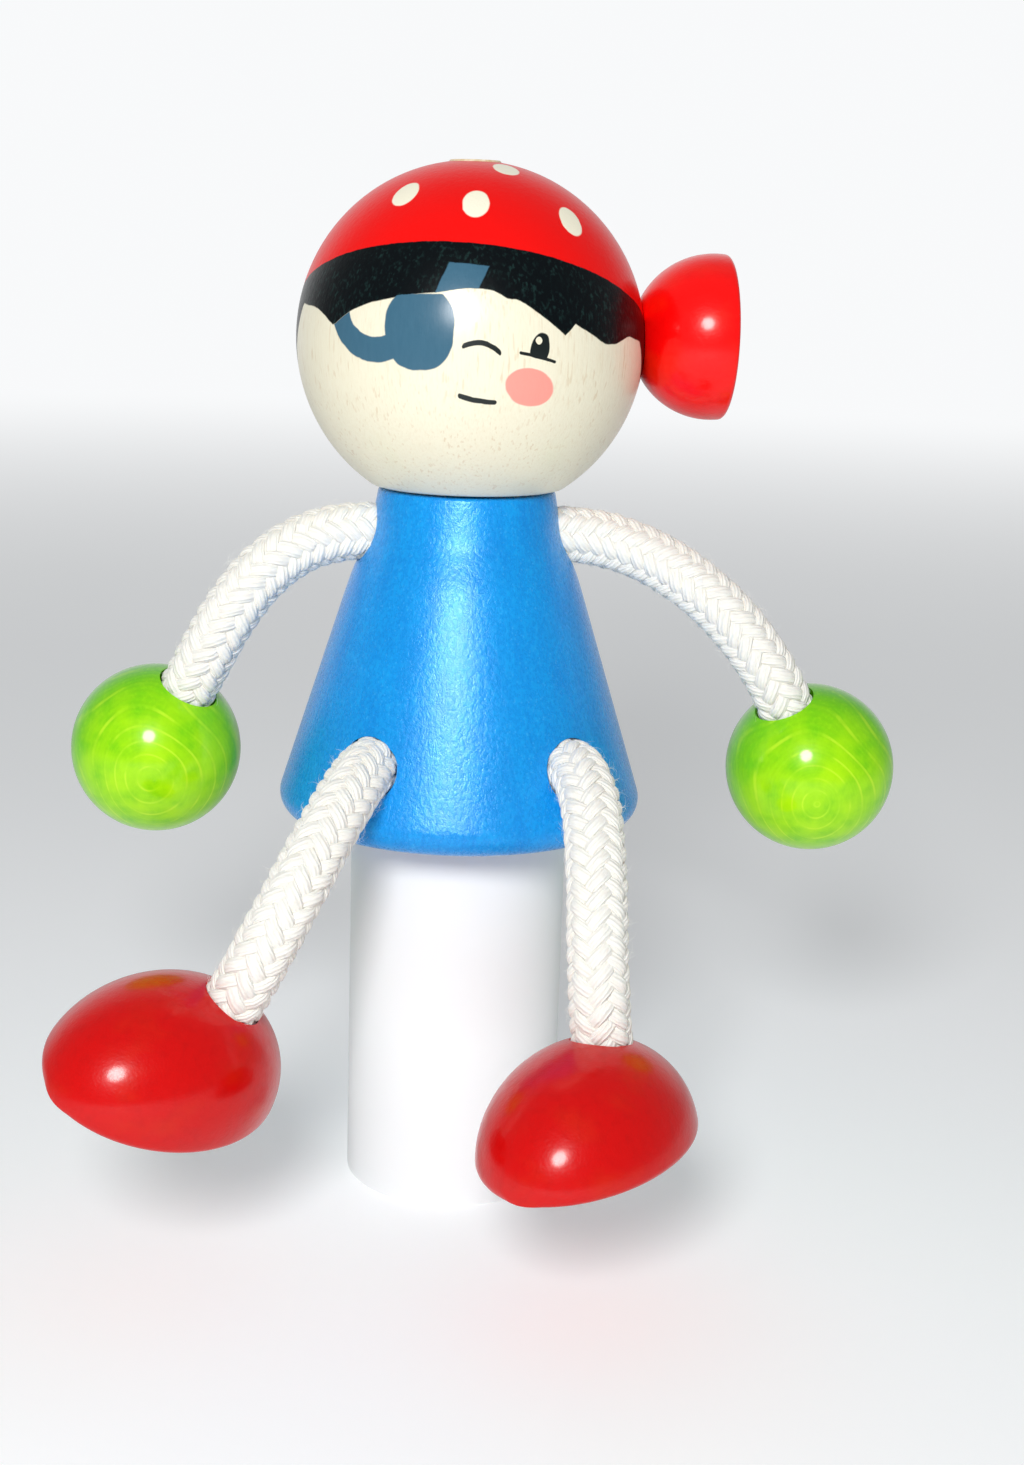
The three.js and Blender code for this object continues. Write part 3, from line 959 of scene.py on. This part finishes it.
def torso_profile():
    rounding = TORSO_BASE_ROUNDING
    top = TORSO_TOP_ROUNDING
    centre = (TORSO_BASE - rounding, rounding)
    base = arc(centre, rounding, -90, math.degrees(CONE_ANGLE), 14)
    neck = through([TORSO_SHOULDER, *TORSO_NECK], 8)
    outline = [(0, 0), (6, 0), (12, 0), (16, 0), *base]
    outline += line(base[-1], TORSO_SHOULDER, 26) + neck
    outline += arc((neck[-1][0] - top, neck[-1][1]), top, 15, 90, 5)
    return outline + [(7, TORSO_HEIGHT), (3.6, TORSO_HEIGHT), (0, TORSO_HEIGHT)]


def make_torso():
    piece = make_piece("turned_torso", *lathe(torso_profile(), 200))
    cutters = []
    for limb in LIMBS.values():
        cutters.append(hole_cutter(limb.mouth, -limb.leaving, HOLE_RADIUS, HOLE_DEPTH, HOLE_LIP))
    top = Vector((0, 0, TORSO_HEIGHT))
    cutters.append(hole_cutter(top, (0, 0, -1), NECK_HOLE_RADIUS, NECK_HOLE_DEPTH, lip=0.2))
    carve(piece, cutters)
    shade(piece, 35)
    dress(piece, torso_material(), "blue_paint", "torso", "torso")


def make_head():
    """The ball, flat where it sits on the torso and bored right through for the dowel."""
    low = math.degrees(math.acos(HEAD_FLAT / HEAD_RADIUS))
    ball = arc((0, 0), HEAD_RADIUS, -low, 90, 110)
    flat = -math.sqrt(HEAD_RADIUS**2 - HEAD_FLAT**2)
    profile = [(0, flat), (4, flat), (8, flat), (HEAD_FLAT - 0.35, flat)]
    profile += [(HEAD_FLAT + 0.12, flat + 0.12)] + ball[1:]
    points, faces = lathe(profile, 200)
    piece = make_piece("turned_head", placed(points, Matrix.Translation(HEAD_CENTRE)), faces)
    crown = HEAD_CENTRE + Vector((0, 0, math.sqrt(HEAD_RADIUS**2 - NECK_DOWEL_RADIUS**2)))
    knot = HEAD_CENTRE + Vector((HEAD_RADIUS, 0, KNOT_RISE))
    cutters = [
        hole_cutter(crown, (0, 0, -1), NECK_HOLE_RADIUS, HEAD_BORE_DEPTH, lip=0.12),
        hole_cutter(knot, (-1, 0, 0), KNOT_HOLE_RADIUS, KNOT_HOLE_DEPTH_IN_HEAD, KNOT_HOLE_LIP),
    ]
    carve(piece, cutters)
    shade(piece, 30)
    dress(piece, head_material(), "beech", "torso", "head_ball")


def whole_ball(radius, steps):
    """A ball's profile, with its ends exactly on the axis."""
    profile = arc((0, 0), radius, -90, 90, steps)
    profile[0] = (0, -radius)
    profile[-1] = (0, radius)
    return profile


def make_neck_dowel():
    """Its end shows at the crown, where it stands a little proud of the ball."""
    bottom = TORSO_HEIGHT - NECK_DOWEL_DEPTH
    top = HEAD_CENTRE.z + math.sqrt(HEAD_RADIUS**2 - NECK_DOWEL_RADIUS**2) + NECK_DOWEL_PROUD
    radius = NECK_DOWEL_RADIUS
    edge = 0.15
    profile = [(0, bottom), (radius - edge, bottom), (radius, bottom + edge)]
    profile += line((radius, bottom + edge), (radius, top - edge), 24)
    profile += [(radius, top - edge), (radius - edge, top), (radius / 2, top), (0, top)]
    piece = make_piece("crown_dowel", *lathe(profile, 64))
    shade(piece, 40)
    dress(piece, dowel_material(), "dowel_wood", "torso", "neck_dowel")


def make_knot(material):
    """A ball cut flat past its middle, and hollowed on the other side to sit on the head."""
    edge = KNOT_EDGE
    drop = edge - KNOT_CAP
    reach = math.sqrt((KNOT_RADIUS - edge) ** 2 - drop**2)
    turn = math.degrees(math.atan2(drop, reach))
    dome = arc((0, KNOT_CAP), KNOT_RADIUS, 90, turn, 64)
    rim = arc((reach, edge), edge, turn, -90, 12)
    flat = [(reach * share, 0) for share in (0.75, 0.5, 0.25)]
    profile = dome + rim[1:] + flat + [(0, 0)]
    profile[0] = (0, KNOT_CAP + KNOT_RADIUS)
    points, faces = lathe(profile[::-1], 128)
    height = HEAD_CENTRE.z + KNOT_RISE
    place = Matrix.Translation((KNOT_FLAT_X, 0, height)) @ towards((-1, 0, 0))
    piece = make_piece("turned_knot", placed(points, place), faces)
    points, faces = lathe(whole_ball(KNOT_SEAT_RADIUS, 160), 320)
    seat = make_piece("cutter", placed(points, Matrix.Translation(HEAD_CENTRE)), faces)
    mouth = Vector((HEAD_RADIUS, 0, height))
    hole = hole_cutter(mouth, (1, 0, 0), KNOT_HOLE_RADIUS, KNOT_HOLE_DEPTH, KNOT_HOLE_LIP)
    carve(piece, [seat, hole])
    shade(piece, 35)
    dress(piece, material, "red_paint", "torso", "scarf_knot")


# Each pith points forward, and the beads' painted light and painted shade are laid out along it.
BEAD_PITHS = {"right": (0.02, -0.99, -0.13), "left": (-0.12, -0.95, -0.2)}


def make_hand(side, limb):
    depth = math.sqrt(HAND_RADIUS**2 - HOLE_RADIUS**2)
    centre = limb.end + limb.entering * depth
    points, faces = lathe(whole_ball(HAND_RADIUS, 90), 140)
    place = Matrix.Translation(centre) @ towards(limb.entering)
    piece = make_piece(f"{side}_bead_hand", placed(points, place), faces)
    carve(piece, [hole_cutter(limb.end, limb.entering, HAND_HOLE_RADIUS, HOLE_DEPTH, HOLE_LIP)])
    shade(piece, 35)
    material = green_stain_material(f"{side}_green_stain", centre, BEAD_PITHS[side])
    dress(piece, material, "green_stain", f"{side}_hand", f"{side}_hand")


def foot_section(width):
    """Half a disc with rounded corners, from the middle of the sole round the dome and back."""
    edge = min(FOOT_EDGE, width * 0.3)
    reach = math.sqrt(max((width - edge) ** 2 - edge**2, 0))
    turn = math.degrees(math.asin(min(1, edge / (width - edge))))
    right = arc((reach, edge), edge, -90, turn, 6)
    dome = arc((0, 0), width, turn, 180 - turn, FOOT_DOME_STEPS)
    left = arc((-reach, edge), edge, 180 - turn, 270, 6)
    sole = line((-reach, 0), (reach, 0), 12)
    return right + dome[1:-1] + left + sole


def make_foot(side, limb, toe, material):
    """Half an egg, flat underneath, made of rows of sections from the heel to the toe."""
    up = -limb.entering
    toe = (toe - up * toe.dot(up)).normalized()
    across = up.cross(toe)
    back = -FOOT_HOLE_BACK / (FOOT_LENGTH / 2)
    dome = FOOT_RADIUS * math.sqrt(1 - back**2) * (1 - FOOT_TAPER * back)
    sole = limb.end - up * dome + toe * FOOT_HOLE_BACK
    points = []
    for i in range(1, FOOT_ROWS):
        angle = math.pi * i / FOOT_ROWS
        along = -math.cos(angle)
        width = FOOT_RADIUS * math.sin(angle) * (1 - FOOT_TAPER * along)
        for y, z in foot_section(width):
            points.append(sole + toe * (along * FOOT_LENGTH / 2) + across * y + up * z)
    sides = len(foot_section(1))
    faces = []
    for row in range(FOOT_ROWS - 2):
        for i in range(sides):
            j = (i + 1) % sides
            low = row * sides
            high = low + sides
            faces.append((low + i, low + j, high + j, high + i))
    for tip, row in ((-1, 0), (1, FOOT_ROWS - 2)):
        points.append(sole + toe * (tip * FOOT_LENGTH / 2) + up * 0.05)
        for i in range(sides):
            a, b = row * sides + i, row * sides + (i + 1) % sides
            faces.append((len(points) - 1, b, a) if tip < 0 else (len(points) - 1, a, b))
    piece = make_piece(f"{side}_egg_foot", points, faces)
    recalculate_normals(piece)
    carve(piece, [hole_cutter(limb.end, limb.entering, HOLE_RADIUS, HOLE_DEPTH, HOLE_LIP)])
    shade(piece, 35)
    dress(piece, material, "red_paint", f"{side}_foot", f"{side}_foot")


# ------------------------------------------------------------------ the stage

FLOOR_Z = -46
CAMERA_AT = (-18.6, -235.8, 66.3)
CAMERA_HEADING = math.radians(6)
CAMERA_PITCH = math.radians(-13.44)
CAMERA_ROLL = math.radians(1.8)
CAMERA_LENS = 49.62
KEY_LIGHT_AT = (-75, -330, 185)
KEY_LIGHT_AIM = (0, -8, 28)
KEY_LIGHT_SIZE = 105
KEY_LIGHT_POWER = 1.06
WORLD_IN_FRONT = 0.3
WORLD_BEHIND = 0.96
BACKDROP = (0.98, 0.99, 1, 1)
FLOOR_HALF_WIDTH = 3000
FLOOR_GLOW = 0.18
FLOOR_FADE_AT = 750
FLOOR_FADE_SOFT = 600
POST_RADIUS = 13
POST_TOP = -0.2
POST_EDGE = 1


def make_camera():
    data = bpy.data.cameras.new("camera")
    data.lens = CAMERA_LENS
    data.sensor_width = 36
    data.clip_start = 0.005
    data.clip_end = 20
    camera = bpy.data.objects.new("camera", data)
    bpy.context.scene.collection.objects.link(camera)
    heading = Vector((math.sin(CAMERA_HEADING), math.cos(CAMERA_HEADING), 0))
    ahead = heading * math.cos(CAMERA_PITCH) + Vector((0, 0, math.sin(CAMERA_PITCH)))
    right = ahead.cross(Vector((0, 0, 1))).normalized()
    up = right.cross(ahead)
    rolled_right = right * math.cos(CAMERA_ROLL) + up * math.sin(CAMERA_ROLL)
    rolled_up = up * math.cos(CAMERA_ROLL) - right * math.sin(CAMERA_ROLL)
    turn = Matrix((rolled_right, rolled_up, -ahead)).transposed().to_4x4()
    camera.matrix_world = Matrix.Translation(Vector(CAMERA_AT) * MM) @ turn
    bpy.context.scene.camera = camera


def make_light(name, place, target, size, power):
    data = bpy.data.lights.new(name, "AREA")
    data.shape = "DISK"
    data.size = size * MM
    data.energy = power
    light = bpy.data.objects.new(name, data)
    bpy.context.scene.collection.objects.link(light)
    aim = Vector(target) - Vector(place)
    turn = aim.to_track_quat("-Z", "Y").to_matrix().to_4x4()
    light.matrix_world = Matrix.Translation(Vector(place) * MM) @ turn


def backdrop_strength(tree, ahead):
    """How bright the world is, from how much of a direction is along +Y."""
    return Num(tree, ahead).above(0.7, 0.25) * (WORLD_BEHIND - WORLD_IN_FRONT) + WORLD_IN_FRONT


def stage_material(name, fades):
    """Matte white. A floor that fades turns into the backdrop where it is far away."""
    s = Surface(name)
    colour = s.mix(s.grain(0.01), (0.86, 0.88, 0.89, 1), (0.89, 0.91, 0.92, 1))
    s.set(Base_Color=colour, Roughness=0.9, Specular_IOR_Level=0.0)
    if fades:
        far = s.dot(s.place, s.place).math("SQRT").above(FLOOR_FADE_AT, FLOOR_FADE_SOFT)
        ahead = s.dot(s.vector("NORMALIZE", s.place), (0, 1, 0))
        s.set(Base_Color=s.mix(far, colour, (0, 0, 0, 1)), Emission_Color=BACKDROP)
        backdrop = backdrop_strength(s.tree, ahead.socket)
        s.set(Emission_Strength=(backdrop - FLOOR_GLOW) * far + FLOOR_GLOW)
    return s.material


def make_stage():
    signs = ((-1, -1), (1, -1), (1, 1), (-1, 1))
    corners = [(x * FLOOR_HALF_WIDTH, y * FLOOR_HALF_WIDTH, FLOOR_Z) for x, y in signs]
    floor = make_piece("floor", corners, [(0, 1, 2, 3)])
    profile = [(0, FLOOR_Z), (POST_RADIUS, FLOOR_Z), (POST_RADIUS, POST_TOP - POST_EDGE)]
    profile += [(POST_RADIUS - POST_EDGE, POST_TOP), (0, POST_TOP)]
    post = make_piece("post", *lathe(profile, 96))
    shade(post, 30)
    floor.data.materials.append(stage_material("pale_floor", True))
    post.data.materials.append(stage_material("pale_post", False))


def make_world():
    """Soft light from all round, which is brighter behind the figure than in front of it."""
    world = bpy.data.worlds.new("world")
    world.use_nodes = True
    tree = world.node_tree
    background = tree.nodes["Background"]
    coordinates = tree.nodes.new("ShaderNodeTexCoord")
    split = tree.nodes.new("ShaderNodeSeparateXYZ")
    tree.links.new(coordinates.outputs["Generated"], split.inputs[0])
    plug(tree, backdrop_strength(tree, split.outputs["Y"]), background.inputs["Strength"])
    background.inputs["Color"].default_value = BACKDROP
    bpy.context.scene.world = world


def make_lights():
    make_light("key", KEY_LIGHT_AT, KEY_LIGHT_AIM, KEY_LIGHT_SIZE, KEY_LIGHT_POWER)
    make_world()
    bpy.context.scene.view_settings.view_transform = "Standard"


# ------------------------------------------------------------------------ make

make_camera()
make_lights()
make_stage()

make_torso()
make_head()
make_neck_dowel()
knot_red = red_paint_material("scarf_red_paint", linear(250, 4, 4), linear(246, 40, 10), linear(232, 0, 0))
foot_red = red_paint_material("gloss_red_paint", linear(206, 0, 0), linear(204, 36, 4), linear(178, 0, 0))
make_knot(knot_red)
make_hand("right", LIMBS["right_arm"])
make_hand("left", LIMBS["left_arm"])
for leg in ("right_leg", "left_leg"):
    make_foot(leg.split("_")[0], LIMBS[leg], TOES[leg], foot_red)
cotton = rope_material()
for limb_name, route in LIMBS.items():
    make_limb_ropes(limb_name, route, cotton)
# The knot's dowel is hidden, so the CAD shape is kept and only its material is set.
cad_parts["knot_dowel"].data.materials.clear()
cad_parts["knot_dowel"].data.materials.append(dowel_material())
